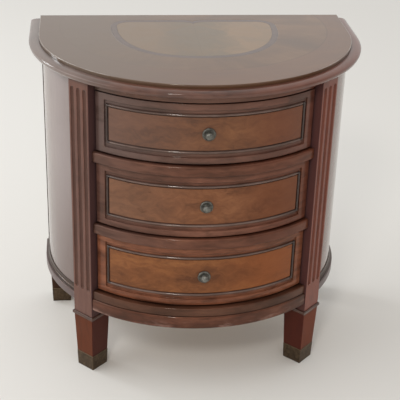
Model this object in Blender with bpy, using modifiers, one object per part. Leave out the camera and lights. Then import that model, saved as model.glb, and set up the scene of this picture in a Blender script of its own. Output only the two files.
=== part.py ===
"""Demilune nightstand: a half-round chest of three bowed drawers on square tapered legs.

Metres, +Z up, front towards -Y. The origin is on the floor, under the middle of the top's plan box.
The front and the sides follow one plan line, so bent pieces are drawn flat first: X runs along
the line from the middle of the front, -Y points outwards, and bend() lays them on the line.
"""

import math

import bmesh
import bpy
import numpy as np
from mathutils import Matrix, Vector

# Overall sizes and clearances
WIDTH = 0.680
DEPTH = 0.438
HEIGHT = 0.677
GAP = 0.0003
OVERRUN = 0.010
WELD = 0.00001

# Plan line of the case: straight sides from the wall, then half an ellipse
TOP_OVERHANG = 0.027
STRAIGHT_SIDE = 0.119
WALL_SETBACK = 0.0125
SLICE_LENGTH = 0.018

# Top
TOP_THICK = 0.021
FIELD_STEP = 0.0068
MOULD_WIDTH = 0.0205
MOULD_NOSE = 0.0125
MOULD_FLAT = 0.0030
MOULD_TUCK = 0.0055
FIELD_ROUND = 0.0024
INLAY_HALF = 0.1605
INLAY_BOW = 0.185
INLAY_FULLNESS = 2.35
INLAY_AXIS = 0.075
INLAY_SHOULDER = 0.027
INLAY_NOTCH_HALF = 0.034
INLAY_NOTCH_DEEP = 0.015
INLAY_THICK = 0.0012
BAND_WIDTH = 0.012

# Case heights, from the floor up
CASE_BOTTOM = 0.1555
BASE_MOULD_HEIGHT = 0.0270
BASE_RAIL_HEIGHT = 0.0180
REVEAL = 0.0020
RAIL_HEIGHT = 0.0220
FRIEZE_HEIGHT = 0.0162
TOP_DRAWER_LESS = 0.0085

# Rails and mouldings of the case
RAIL_DEPTH = 0.022
RAIL_PROUD = 0.0090
RAIL_ROUND = 0.0045
RAIL_FOOT_ROUND = 0.0025
BASE_RAIL_PROUD = 0.0125
BASE_PROUD = 0.0150
BASE_ROUND = 0.0040
BASE_FOOT_ROUND = 0.0015
SKIRT_PROUD = 0.0085
SKIRT_BAND = 0.0160
SKIRT_ROUND = 0.0020
SKIRT_BEAD = 0.0046
SKIRT_STEP = 0.0215
SKIRT_TOP = 0.0285
SKIRT_LIP = 0.0012
SIDE_THICK = 0.014
BACK_THICK = 0.006
BOTTOM_THICK = 0.006
BOTTOM_RAISE = 0.0095
EDGE_ROUND = 0.0010

# Front posts, square and turned by 45 degrees
POST_SIDE = 0.0515
POST_FROM_SIDE = 0.0897
POST_INSET = 0.0098
POST_ROUND = 0.0012
FLUTE_WIDTH = 0.0102
FLUTE_DEEP = 0.0042
FLUTE_PITCH = 0.0162
FLUTE_HEAD_MARGIN = 0.0157
FLUTE_FOOT_MARGIN = 0.0602
FLUTE_COUNT = 3
COLLAR_TOP = 0.1368
COLLAR_HEIGHT = 0.0083
COLLAR_PROUD = 0.0025
COLLAR_ROUND = 0.0014

# Rear posts, which stand a little proud of the sides, and feet
REAR_POST_SIDE = 0.0510
REAR_POST_PROUD = 0.0042
REAR_FOOT_SIDE = 0.0405
FOOT_SIDE = 0.0427
FERRULE_HEIGHT = 0.0355
FERRULE_WALL = 0.0015
FERRULE_PROUD = 0.0004
FERRULE_ROUND = 0.0005

# Drawers
FRONT_THICK = 0.019
FRONT_PROUD = 0.0010
FRONT_END_GAP = 0.0022
FRAME_WIDTH = 0.0185
STILE_WIDTH = 0.0206
RECESS_DEEP = 0.0045
PANEL_THICK = 0.0012
BEAD_QUIRK = 0.0026
BEAD_WIDTH = 0.0062
BEAD_HEIGHT = 0.0038
BEAD_ROUND_SHARE = 1 / 3
SIDE_CLEAR = 0.0012
BOX_SIDE_THICK = 0.012
BOX_BACK_THICK = 0.012
BOX_DROP = 0.012
BOX_FROM_WALL = 0.045
BOX_BOTTOM_THICK = 0.005
BOX_BOTTOM_RAISE = 0.008
GROOVE_DEEP = 0.005

# Runners and kickers
RUNNER_WIDTH = 0.036
RUNNER_THICK = 0.012
GUIDE_WIDTH = 0.010
GUIDE_HEIGHT = 0.012
GUIDE_CLEAR = 0.0008
KICKER_CLEAR = 0.0025

# Knobs and their backplates
PLATE_RADIUS = 0.0130
PLATE_EDGE = 0.0012
PLATE_RIM = 0.0034
PLATE_RIM_WIDTH = 0.0030
PLATE_DISH = 0.0014
KNOB_RADIUS = 0.0076
KNOB_REACH = 0.0150
KNOB_DOME = 0.0052
KNOB_SKIRT = 0.0018
KNOB_NECK = 0.0040
KNOB_SHOULDER = 0.0056
SPINDLE_RADIUS = 0.0026

# Counts of facets, and a bevel's share that makes it round
ROUND_SHARE = 0.5
ELLIPSE_SAMPLES = 4001
KNOB_STEPS = 20
HOLE_STEPS = 20
FLUTE_STEPS = 14
ARC_STEPS = 5
INLAY_STEPS = 26

# Colours, linear red, green and blue
MAHOGANY = (0.130, 0.042, 0.022)
DARK_MAHOGANY = (0.075, 0.028, 0.018)
BURL = (0.250, 0.105, 0.040)
TOP_WOOD = (0.190, 0.095, 0.055)
PALE_WOOD = (0.430, 0.290, 0.160)
PLYWOOD = (0.360, 0.240, 0.130)
BRONZE = (0.080, 0.070, 0.055)

# Places that follow from the sizes
CASE_HALF = WIDTH / 2 - TOP_OVERHANG
CASE_BOW = DEPTH - TOP_OVERHANG - STRAIGHT_SIDE
POST_X = CASE_HALF - POST_FROM_SIDE
WALL_Y = DEPTH / 2
CASE_BACK_Y = WALL_Y - WALL_SETBACK
INNER_BACK_Y = CASE_BACK_Y - BACK_THICK - GAP
UNDER_TOP = HEIGHT - TOP_THICK
CASE_TOP = UNDER_TOP - GAP
BASE_RAIL_TOP = CASE_BOTTOM + BASE_MOULD_HEIGHT + BASE_RAIL_HEIGHT
FRIEZE_BOTTOM = CASE_TOP - FRIEZE_HEIGHT
DRAWER_NAMES = ("bottom", "middle", "top")
RAIL_NAMES = ("rail_lower", "rail_upper")
DRAWER_PITCH = (FRIEZE_BOTTOM - BASE_RAIL_TOP + RAIL_HEIGHT + TOP_DRAWER_LESS) / len(DRAWER_NAMES)
DRAWER_HEIGHT = DRAWER_PITCH - RAIL_HEIGHT - 2 * REVEAL
DRAWER_HEIGHTS = (DRAWER_HEIGHT, DRAWER_HEIGHT, DRAWER_HEIGHT - TOP_DRAWER_LESS)
SEAT_TOPS = [BASE_RAIL_TOP + level * DRAWER_PITCH for level in range(len(DRAWER_NAMES))]
FLUTE_TOP = CASE_TOP - FLUTE_HEAD_MARGIN
FLUTE_BOTTOM = COLLAR_TOP + FLUTE_FOOT_MARGIN
FIELD_EDGE = TOP_OVERHANG - MOULD_WIDTH
HALF_DIAGONAL = 1 / math.sqrt(2)
SIDES = {"left": -1, "right": 1}


def clear_scene():
    """Removes whatever the scene holds."""
    for obj in list(bpy.data.objects):
        bpy.data.objects.remove(obj, do_unlink=True)


def new_collection(name):
    """A collection in the scene."""
    collection = bpy.data.collections.new(name)
    bpy.context.scene.collection.children.link(collection)
    return collection


def case_line():
    """Plan points, outward normals and lengths of the case's line, from wall to wall."""
    angle = np.linspace(-math.pi / 2, math.pi / 2, ELLIPSE_SAMPLES)
    x = CASE_HALF * np.sin(angle)
    y = WALL_Y - STRAIGHT_SIDE - CASE_BOW * np.cos(angle)
    normal = np.stack([np.sin(angle) / CASE_HALF, -np.cos(angle) / CASE_BOW], axis=1)
    normal /= np.linalg.norm(normal, axis=1)[:, None]
    points = np.stack([x, y], axis=1)
    points = np.vstack([[x[0], WALL_Y], points, [x[-1], WALL_Y]])
    normal = np.vstack([normal[0], normal, normal[-1]])
    steps = np.linalg.norm(np.diff(points, axis=0), axis=1)
    length = np.concatenate([[0], np.cumsum(steps)])
    return points, normal, length - length[-1] / 2


LINE_POINTS, LINE_NORMALS, LINE_LENGTH = case_line()
WALL_U = LINE_LENGTH[-1]


def on_line(u, outwards):
    """Plan points at lengths u along the line and a distance outside it."""
    columns = []
    for axis in range(2):
        base = np.interp(u, LINE_LENGTH, LINE_POINTS[:, axis])
        normal = np.interp(u, LINE_LENGTH, LINE_NORMALS[:, axis])
        columns.append(base + outwards * normal)
    return np.stack(columns, axis=-1)


def length_at_x(x, outwards):
    """Length along the right half where the offset line has this X."""
    u = LINE_LENGTH[LINE_LENGTH > 0]
    return float(np.interp(x, on_line(u, outwards)[:, 0], u))


def length_from_wall(distance):
    """Length along the right half at a distance in front of the wall, on the straight side."""
    return WALL_U - distance


POST_U = length_at_x(POST_X, -POST_INSET)
POST_CENTRE = on_line(POST_U, -POST_INSET)
POST_INNER_X = POST_CENTRE[0] - POST_SIDE * HALF_DIAGONAL
BOX_HALF = POST_INNER_X - SIDE_CLEAR
REAR_OUTER_X = CASE_HALF + REAR_POST_PROUD
REAR_INNER_X = REAR_OUTER_X - REAR_POST_SIDE - GAP
REAR_CENTRE = (REAR_OUTER_X - REAR_POST_SIDE / 2, CASE_BACK_Y - REAR_POST_SIDE / 2)
REAR_FRONT = length_from_wall(WALL_SETBACK + REAR_POST_SIDE + GAP)


def front_end_length():
    """Length along the right half where a drawer front's face ends."""
    u = LINE_LENGTH[(LINE_LENGTH > 0) & (LINE_LENGTH < POST_U)]
    inwards = np.array([-HALF_DIAGONAL, -HALF_DIAGONAL])
    distance = (on_line(u, FRONT_PROUD) - POST_CENTRE) @ inwards
    return float(np.interp(-(POST_SIDE / 2 + FRONT_END_GAP), -distance, u))


FRONT_END = front_end_length()


def grid_between(low, high):
    """Lengths of the common slices strictly between two lengths, so nested pieces have like facets."""
    first = math.floor(low / SLICE_LENGTH) + 1
    last = math.ceil(high / SLICE_LENGTH) - 1
    return [step * SLICE_LENGTH for step in range(first, last + 1)]


def bend(bm):
    """Slices a flat piece across its length and lays it on the case's line."""
    lengths = [vert.co.x for vert in bm.verts]
    for u in grid_between(min(lengths), max(lengths)):
        geometry = bm.verts[:] + bm.edges[:] + bm.faces[:]
        bmesh.ops.bisect_plane(bm, geom=geometry, plane_co=(u, 0, 0), plane_no=(1, 0, 0))
    for vert in bm.verts:
        x, y = on_line(vert.co.x, -vert.co.y)
        vert.co = Vector((x, y, vert.co.z))


def material(name, colour, roughness, metallic=0.0):
    """A plain Principled material."""
    mat = bpy.data.materials.new(name)
    mat.use_nodes = True
    shader = mat.node_tree.nodes["Principled BSDF"]
    shader.inputs["Base Color"].default_value = (*colour, 1)
    shader.inputs["Roughness"].default_value = roughness
    shader.inputs["Metallic"].default_value = metallic
    mat.diffuse_color = (*colour, 1)
    return mat


def bounds_centre(mesh):
    """Middle of a mesh's box."""
    corners = np.array([vert.co for vert in mesh.vertices])
    return Vector((corners.min(0) + corners.max(0)) / 2)


def add_part(name, mesh, colour, roughness=0.25, metallic=0.0, parent=None, origin=None):
    """Puts a mesh drawn in place into the part, with its own origin and material."""
    origin = bounds_centre(mesh) if origin is None else Vector(origin)
    mesh.transform(Matrix.Translation(-origin))
    mesh.name = name
    obj = bpy.data.objects.new(name, mesh)
    PART.objects.link(obj)
    obj.location = origin
    if parent is not None:
        obj.parent = parent
        obj.location = origin - parent.location
    mesh.materials.append(material(name, colour, roughness, metallic))
    return obj


def add_cutter(name, mesh):
    """Puts a mesh into the cutters' collection."""
    obj = bpy.data.objects.new(name, mesh)
    CUTTERS.objects.link(obj)
    obj.hide_render = True
    obj.display_type = "WIRE"
    return obj


def cut(obj, *cutters):
    """Subtracts each cutter from an object."""
    for cutter in cutters:
        boolean = obj.modifiers.new("Cut " + cutter.name, "BOOLEAN")
        boolean.operation = "DIFFERENCE"
        boolean.object = cutter
    return obj


def round_edges(obj, width, segments=2):
    """Rounds an object's sharp edges."""
    bevel = obj.modifiers.new("Rounded edges", "BEVEL")
    bevel.width = width
    bevel.segments = segments
    bevel.limit_method = "ANGLE"
    bevel.angle_limit = math.radians(40)
    return obj


def to_mesh(bm):
    """Closes a bmesh into a mesh with its faces pointing out."""
    bmesh.ops.recalc_face_normals(bm, faces=bm.faces[:])
    mesh = bpy.data.meshes.new("Mesh")
    bm.to_mesh(mesh)
    bm.free()
    return mesh


def box_bmesh(low, high):
    """A box between two corners."""
    low, high = Vector(low), Vector(high)
    bm = bmesh.new()
    bmesh.ops.create_cube(bm, size=1)
    bmesh.ops.scale(bm, vec=high - low, verts=bm.verts[:])
    bmesh.ops.translate(bm, vec=(low + high) / 2, verts=bm.verts[:])
    return bm


def box_mesh(low, high):
    """A box between two corners, as a mesh."""
    return to_mesh(box_bmesh(low, high))


def bent_box_mesh(u_range, out_range, z_range):
    """A box along the case's line: lengths, distances outside the line, and heights."""
    bm = box_bmesh((u_range[0], -out_range[1], z_range[0]), (u_range[1], -out_range[0], z_range[1]))
    bend(bm)
    return to_mesh(bm)


def outline_bmesh(loops, thickness):
    """A flat outline in XY, with any holes, as a plate centred on Z = 0."""
    curve = bpy.data.curves.new("Outline", "CURVE")
    curve.dimensions = "2D"
    curve.fill_mode = "BOTH"
    curve.extrude = thickness / 2
    for loop in loops:
        spline = curve.splines.new("POLY")
        spline.points.add(len(loop) - 1)
        spline.use_cyclic_u = True
        for point, (x, y) in zip(spline.points, loop):
            point.co = (x, y, 0, 1)
    guide = bpy.data.objects.new("Outline", curve)
    bpy.context.scene.collection.objects.link(guide)
    evaluated = guide.evaluated_get(bpy.context.evaluated_depsgraph_get())
    mesh = bpy.data.meshes.new_from_object(evaluated)
    bm = bmesh.new()
    bm.from_mesh(mesh)
    bmesh.ops.remove_doubles(bm, verts=bm.verts[:], dist=WELD)
    bpy.data.objects.remove(guide, do_unlink=True)
    bpy.data.curves.remove(curve)
    bpy.data.meshes.remove(mesh)
    return bm


def plate_mesh(loops, z_range):
    """A level plate with a plan outline."""
    bm = outline_bmesh(loops, z_range[1] - z_range[0])
    bmesh.ops.translate(bm, vec=(0, 0, sum(z_range) / 2), verts=bm.verts[:])
    return to_mesh(bm)


def bent_profile_mesh(profile, u_range):
    """A section of (distance outside the line, height) points run along the case's line."""
    bm = outline_bmesh([profile], u_range[1] - u_range[0])
    turn = Matrix(((0, 0, -1, 0), (-1, 0, 0, 0), (0, 1, 0, 0), (0, 0, 0, 1)))
    bmesh.ops.transform(bm, matrix=Matrix.Translation((sum(u_range) / 2, 0, 0)) @ turn, verts=bm.verts[:])
    bend(bm)
    return to_mesh(bm)


def profile_along_y_mesh(profile, y_range):
    """A section of (X, Z) points run along Y."""
    bm = outline_bmesh([profile], y_range[1] - y_range[0])
    turn = Matrix.Rotation(math.radians(90), 4, "X")
    bmesh.ops.transform(bm, matrix=Matrix.Translation((0, sum(y_range) / 2, 0)) @ turn, verts=bm.verts[:])
    return to_mesh(bm)


def turned_object(name, profile, steps, centre, adder, smooth=True):
    """A profile of (radius, height) points, top to bottom, turned about a vertical line.

    A profile that starts off the line is closed into a ring.
    """
    mesh = bpy.data.meshes.new(name)
    points = [(radius, 0, height) for radius, height in profile]
    edges = [(i, i + 1) for i in range(len(points) - 1)]
    if profile[0][0] > 0:
        edges.append((len(points) - 1, 0))
    mesh.from_pydata(points, edges, [])
    obj = adder(name, mesh)
    obj.location = centre
    screw = obj.modifiers.new("Turned", "SCREW")
    screw.steps = steps
    screw.render_steps = steps
    screw.use_merge_vertices = True
    screw.merge_threshold = WELD
    screw.use_smooth_shade = smooth
    return obj


def part_adder(colour, roughness, metallic=0.0, parent=None):
    """Adds a turned profile to the part, with its origin where the profile is drawn."""
    return lambda name, mesh: add_part(name, mesh, colour, roughness, metallic, parent, (0, 0, 0))


def arc(centre, radii, start, end, steps=ARC_STEPS):
    """Points on an elliptical arc, angles in degrees."""
    angles = np.radians(np.linspace(start, end, steps + 1))
    return [(centre[0] + radii[0] * math.cos(a), centre[1] + radii[1] * math.sin(a)) for a in angles]


def plan_outline(outwards, back_y):
    """Closed plan outline outside the case's line, cut off straight at the back."""
    end = WALL_U - (WALL_Y - back_y)
    lengths = [-end, *grid_between(-end, end), end]
    return [tuple(point) for point in on_line(np.array(lengths), outwards)]


def square_prism_mesh(centre, side, z_range):
    """A square prism turned by 45 degrees."""
    bm = bmesh.new()
    radius = side * HALF_DIAGONAL
    height = z_range[1] - z_range[0]
    bmesh.ops.create_cone(bm, cap_ends=True, segments=4, radius1=radius, radius2=radius, depth=height)
    bmesh.ops.translate(bm, vec=(centre[0], centre[1], sum(z_range) / 2), verts=bm.verts[:])
    return to_mesh(bm)


def post_cutters(name, clearance):
    """Square cutters round both front posts."""
    z_range = (-OVERRUN, HEIGHT + OVERRUN)
    cutters = []
    for side, sign in SIDES.items():
        centre = (sign * POST_CENTRE[0], POST_CENTRE[1])
        mesh = square_prism_mesh(centre, POST_SIDE + 2 * clearance, z_range)
        cutters.append(add_cutter(f"{name}_{side}", mesh))
    return cutters


def outside_cutter(name, outwards):
    """Everything of the front from a distance outside the case's line."""
    reach = (outwards, DEPTH / 2)
    return add_cutter(name, bent_box_mesh((-POST_U, POST_U), reach, (-OVERRUN, HEIGHT + OVERRUN)))


def inlay_outline(grow):
    """Outline of the top's inlay, grown by a width: a full half oval with a notch in its straight side."""
    axis = WALL_Y - INLAY_AXIS
    half, shoulder = INLAY_HALF + grow, INLAY_SHOULDER + grow
    notch_half, notch_deep = INLAY_NOTCH_HALF - grow, INLAY_NOTCH_DEEP
    back = axis + shoulder
    power = 2 / INLAY_FULLNESS
    quarter = arc((0, 0), (1, 1), 90, 0, INLAY_STEPS)[1:]
    right = [(half * x**power, axis - (INLAY_BOW + grow) * max(y, 0)**power) for x, y in quarter]
    right += arc((half - shoulder, axis), (shoulder, shoulder), 0, 90)[1:]
    right += arc((notch_half, back - notch_deep), (notch_half, notch_deep), 90, 180)[:-1]
    left = [(-x, y) for x, y in reversed(right)]
    return [(0, axis - INLAY_BOW - grow), *right, (0, back - notch_deep), *left]


def top_mould_profile():
    """Section of the top's edge moulding: a flat, a falling curve, a nose and a tucked underside."""
    inner, outer = FIELD_EDGE + GAP, TOP_OVERHANG
    shelf = HEIGHT - FIELD_STEP
    nose = HEIGHT - MOULD_NOSE
    crown = arc((inner + MOULD_FLAT, nose), (outer - inner - MOULD_FLAT, shelf - nose), 90, 0)
    tuck = arc((outer - MOULD_TUCK, nose), (MOULD_TUCK, nose - UNDER_TOP), 0, -90, 3)[1:]
    return [(inner, UNDER_TOP), (inner, shelf), *crown, *tuck]


def make_top():
    """Board, edge moulding and inlay of the top."""
    board_outline = plan_outline(FIELD_EDGE, WALL_Y)
    board = add_part("top_board", plate_mesh([board_outline], (UNDER_TOP, HEIGHT)), TOP_WOOD, 0.2)
    round_edges(board, FIELD_ROUND)
    pocket_floor = HEIGHT - INLAY_THICK - GAP
    pocket = plate_mesh([inlay_outline(BAND_WIDTH + GAP)], (pocket_floor, HEIGHT + OVERRUN))
    cut(board, add_cutter("inlay_pocket", pocket))
    mould = bent_profile_mesh(top_mould_profile(), (-WALL_U, WALL_U))
    add_part("top_moulding", mould, DARK_MAHOGANY, 0.2)
    veneer = (HEIGHT - INLAY_THICK, HEIGHT)
    band = plate_mesh([inlay_outline(BAND_WIDTH), inlay_outline(GAP)], veneer)
    add_part("inlay_band", band, DARK_MAHOGANY, 0.2)
    add_part("inlay_panel", plate_mesh([inlay_outline(0)], veneer), BURL, 0.2)


def rail_profile(proud, z_range, rounding, foot_rounding):
    """Section of a front rail with rounded top and bottom edges."""
    foot_centre = (proud - foot_rounding, z_range[0] + foot_rounding)
    foot = arc(foot_centre, (foot_rounding, foot_rounding), -90, 0, 2)
    nose = arc((proud - rounding, z_range[1] - rounding), (rounding, rounding), 0, 90, 3)
    return [(-RAIL_DEPTH, z_range[0]), *foot, *nose, (-RAIL_DEPTH, z_range[1])]


def skirt_profile():
    """Section of the side base moulding: a rounded band, a step, and a hollow that meets the panel."""
    top, step = CASE_BOTTOM + SKIRT_TOP, CASE_BOTTOM + SKIRT_STEP
    band = CASE_BOTTOM + SKIRT_BAND
    eased = arc((SKIRT_PROUD - SKIRT_ROUND, band - SKIRT_ROUND), (SKIRT_ROUND, SKIRT_ROUND), 0, 90, 2)
    hollow = arc((SKIRT_BEAD, top), (SKIRT_BEAD - SKIRT_LIP, top - step), -90, -180, 3)
    return [(GAP, CASE_BOTTOM), (SKIRT_PROUD, CASE_BOTTOM), *eased, (SKIRT_BEAD, band), *hollow, (GAP, top)]


def make_rails(posts):
    """Front rails and base mouldings, trimmed to the posts."""
    span = (-POST_U, POST_U)
    mould_top = CASE_BOTTOM + BASE_MOULD_HEIGHT
    mould_range, base_range = (CASE_BOTTOM, mould_top - GAP), (mould_top, BASE_RAIL_TOP)
    sections = {
        "base_moulding_front": rail_profile(BASE_PROUD, mould_range, BASE_ROUND, BASE_FOOT_ROUND),
        "base_rail": rail_profile(BASE_RAIL_PROUD, base_range, RAIL_FOOT_ROUND, EDGE_ROUND),
    }
    for name, seat in zip(RAIL_NAMES, SEAT_TOPS[1:]):
        sections[name] = rail_profile(RAIL_PROUD, (seat - RAIL_HEIGHT, seat), RAIL_ROUND, RAIL_FOOT_ROUND)
    for name, profile in sections.items():
        cut(add_part(name, bent_profile_mesh(profile, span), MAHOGANY), *posts)
    frieze = bent_box_mesh(span, (-RAIL_DEPTH, 0), (FRIEZE_BOTTOM, CASE_TOP))
    cut(add_part("frieze_rail", frieze, DARK_MAHOGANY), *posts)
    for (side, sign), post in zip(SIDES.items(), posts):
        ends = sorted((sign * POST_U, sign * REAR_FRONT))
        skirt = bent_profile_mesh(skirt_profile(), ends)
        cut(add_part(f"base_moulding_{side}", skirt, MAHOGANY), post)


def make_panels(posts):
    """Curved sides, flat back and bottom."""
    heights = (CASE_BOTTOM, CASE_TOP)
    for (side, sign), post in zip(SIDES.items(), posts):
        ends = sorted((sign * POST_U, sign * REAR_FRONT))
        panel = add_part(f"side_panel_{side}", bent_box_mesh(ends, (-SIDE_THICK, 0), heights), MAHOGANY)
        cut(panel, post)
    back_corner = (-REAR_INNER_X, CASE_BACK_Y - BACK_THICK, CASE_BOTTOM)
    back = box_mesh(back_corner, (REAR_INNER_X, CASE_BACK_Y, CASE_TOP))
    add_part("back_panel", back, PLYWOOD, 0.6)
    low = CASE_BOTTOM + BOTTOM_RAISE
    outline = plan_outline(-RAIL_DEPTH - GAP, INNER_BACK_Y)
    bottom = add_part("bottom_panel", plate_mesh([outline], (low, low + BOTTOM_THICK)), PLYWOOD, 0.6)
    cut(bottom, *posts)
    for side, sign in SIDES.items():
        outer, inner = sign * (CASE_HALF + OVERRUN), sign * REAR_INNER_X
        low_corner = (min(outer, inner), CASE_BACK_Y - REAR_POST_SIDE - GAP, 0)
        high_corner = (max(outer, inner), WALL_Y, UNDER_TOP)
        cut(bottom, add_cutter(f"rear_post_space_{side}", box_mesh(low_corner, high_corner)))


def side_at(height, side, foot):
    """Side of a leg at a height on its taper."""
    share = height / (COLLAR_TOP - COLLAR_HEIGHT)
    return foot + share * (side - foot)


def post_profile(side, foot):
    """Half section of a post, its tapered leg and the tip that the ferrule holds."""
    bared = FERRULE_HEIGHT + GAP
    inset = 2 * (FERRULE_WALL + GAP)
    tip_low = FERRULE_WALL + GAP
    sections = [
        (0, CASE_TOP),
        (side, CASE_TOP),
        (side, COLLAR_TOP - COLLAR_HEIGHT),
        (side_at(bared, side, foot), bared),
        (side_at(bared, side, foot) - inset, bared),
        (side_at(tip_low, side, foot) - inset, tip_low),
        (0, tip_low),
    ]
    return [(width * HALF_DIAGONAL, height) for width, height in sections]


def ferrule_profile(side, foot):
    """Half section of a square cup round a leg's tip."""
    proud = 2 * FERRULE_PROUD
    rim, toe = side_at(FERRULE_HEIGHT, side, foot) + proud, foot + proud
    wall = 2 * FERRULE_WALL + proud
    sections = [
        (0, FERRULE_WALL),
        (toe - wall, FERRULE_WALL),
        (rim - wall, FERRULE_HEIGHT),
        (rim, FERRULE_HEIGHT),
        (toe, 0),
        (0, 0),
    ]
    return [(width * HALF_DIAGONAL, height) for width, height in sections]


def collar_profile():
    """Half section of a square ring with eased edges, closed round a front post."""
    inner, outer = POST_SIDE + 2 * GAP, POST_SIDE + 2 * COLLAR_PROUD
    eased = outer - 2 * COLLAR_ROUND
    low = COLLAR_TOP - COLLAR_HEIGHT
    sections = [
        (inner, COLLAR_TOP),
        (eased, COLLAR_TOP),
        (outer, COLLAR_TOP - COLLAR_ROUND),
        (outer, low + COLLAR_ROUND),
        (eased, low),
        (inner, low),
    ]
    return [(width * HALF_DIAGONAL, height) for width, height in sections]


def flute_cutters(side, sign):
    """Round-ended cutters for the flutes in a front post's outer face."""
    radius = (FLUTE_WIDTH**2 / 4 + FLUTE_DEEP**2) / (2 * FLUTE_DEEP)
    outwards = Vector((sign * HALF_DIAGONAL, -HALF_DIAGONAL, 0))
    along = Vector((sign * HALF_DIAGONAL, HALF_DIAGONAL, 0))
    centre = Vector((sign * POST_CENTRE[0], POST_CENTRE[1], 0))
    axis = centre + outwards * (POST_SIDE / 2 + radius - FLUTE_DEEP)
    profile = arc((0, FLUTE_TOP - radius), (radius, radius), 90, 0, 3)
    profile += arc((0, FLUTE_BOTTOM + radius), (radius, radius), 0, -90, 3)
    cutters = []
    for index in range(FLUTE_COUNT):
        place = axis + along * FLUTE_PITCH * (index - (FLUTE_COUNT - 1) / 2)
        cutters.append(turned_object(f"flute_{side}_{index}", profile, FLUTE_STEPS, place, add_cutter))
    return cutters


def make_posts():
    """Fluted front posts with their collars, rear posts, and four ferrules."""
    for side, sign in SIDES.items():
        front = Vector((sign * POST_CENTRE[0], POST_CENTRE[1], 0))
        rear = Vector((sign * REAR_CENTRE[0], REAR_CENTRE[1], 0))
        wood, metal = part_adder(MAHOGANY, 0.25), part_adder(BRONZE, 0.4, 0.9)
        section, cup = post_profile(POST_SIDE, FOOT_SIDE), ferrule_profile(POST_SIDE, FOOT_SIDE)
        post = turned_object(f"front_post_{side}", section, 4, front, wood, False)
        cut(round_edges(post, POST_ROUND), *flute_cutters(side, sign))
        ferrule = turned_object(f"ferrule_front_{side}", cup, 4, front, metal, False)
        section = post_profile(REAR_POST_SIDE, REAR_FOOT_SIDE)
        cup = ferrule_profile(REAR_POST_SIDE, REAR_FOOT_SIDE)
        rear_post = turned_object(f"rear_post_{side}", section, 4, rear, wood, False)
        rear_ferrule = turned_object(f"ferrule_rear_{side}", cup, 4, rear, metal, False)
        for obj in (rear_post, rear_ferrule):
            obj.rotation_euler.z = math.radians(45)
        round_edges(rear_post, POST_ROUND)
        for obj in (ferrule, rear_ferrule):
            round_edges(obj, FERRULE_ROUND, 1)
        dark = part_adder(DARK_MAHOGANY, 0.25)
        turned_object(f"post_collar_{side}", collar_profile(), 4, front, dark, False)


def make_runners(posts, rails_space):
    """L-shaped runners under each drawer, and kickers over the top one."""
    inner = BOX_HALF - RUNNER_WIDTH
    guide = BOX_HALF + GUIDE_CLEAR
    front_y = WALL_Y - DEPTH
    for (side, sign), post in zip(SIDES.items(), posts):
        for name, seat in zip(DRAWER_NAMES, SEAT_TOPS):
            section = [
                (inner, seat - RUNNER_THICK),
                (guide + GUIDE_WIDTH, seat - RUNNER_THICK),
                (guide + GUIDE_WIDTH, seat + GUIDE_HEIGHT),
                (guide, seat + GUIDE_HEIGHT),
                (guide, seat),
                (inner, seat),
            ]
            mesh = profile_along_y_mesh([(sign * x, z) for x, z in section], (front_y, INNER_BACK_Y))
            cut(add_part(f"runner_{name}_{side}", mesh, PALE_WOOD, 0.6), post, rails_space)
        low = SEAT_TOPS[-1] + REVEAL + DRAWER_HEIGHTS[-1] - BOX_DROP + KICKER_CLEAR
        ends = sorted((sign * inner, sign * BOX_HALF))
        kicker = box_mesh((ends[0], front_y, low), (ends[1], INNER_BACK_Y, CASE_TOP))
        cut(add_part(f"top_kicker_{side}", kicker, PALE_WOOD, 0.6), rails_space)


def drawer_front_mesh(low, high):
    """Bent front board with a sunk field inside its frame."""
    span = FRONT_END + OVERRUN
    bm = box_bmesh((-span, -FRONT_PROUD, low), (span, FRONT_THICK - FRONT_PROUD, high))
    face = min(bm.faces, key=lambda f: f.calc_center_median().y)
    bmesh.ops.inset_region(bm, faces=[face], thickness=FRAME_WIDTH)
    for vert in face.verts:
        if abs(vert.co.x) < span:
            vert.co.x = math.copysign(FRONT_END - STILE_WIDTH, vert.co.x)
    sunk = bmesh.ops.extrude_face_region(bm, geom=[face])
    verts = [item for item in sunk["geom"] if isinstance(item, bmesh.types.BMVert)]
    bmesh.ops.translate(bm, vec=(0, RECESS_DEEP, 0), verts=verts)
    bmesh.ops.delete(bm, geom=[face], context="FACES_ONLY")
    bend(bm)
    return to_mesh(bm)


def is_mitre(edge):
    """Whether an edge of a flat frame runs slantwise, across a corner."""
    start, end = (vert.co for vert in edge.verts)
    return abs(start.x - end.x) > WELD and abs(start.z - end.z) > WELD


def bead_mesh(low, high):
    """Half-round bead, a closed rectangle laid round the sunk field."""
    outer = FRONT_END - STILE_WIDTH - BEAD_QUIRK
    rise = FRAME_WIDTH + BEAD_QUIRK
    floor = FRONT_PROUD - RECESS_DEEP + GAP
    bm = box_bmesh((-outer, -floor - BEAD_HEIGHT, low + rise), (outer, -floor, high - rise))
    faces = sorted(bm.faces, key=lambda f: f.calc_center_median().y)
    front, back = faces[0], faces[-1]
    bmesh.ops.inset_individual(bm, faces=[front, back], thickness=BEAD_WIDTH)
    loops = list(front.edges) + list(back.edges)
    bmesh.ops.delete(bm, geom=[front, back], context="FACES_ONLY")
    bmesh.ops.bridge_loops(bm, edges=loops)
    crest = -floor - BEAD_HEIGHT / 2
    raised = [edge for edge in bm.edges if all(vert.co.y < crest for vert in edge.verts)]
    rim = [edge for edge in raised if not is_mitre(edge)]
    offset = BEAD_WIDTH * BEAD_ROUND_SHARE
    bmesh.ops.bevel(bm, geom=rim, offset=offset, segments=2, profile=ROUND_SHARE, affect="EDGES")
    bend(bm)
    return to_mesh(bm)


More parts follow.
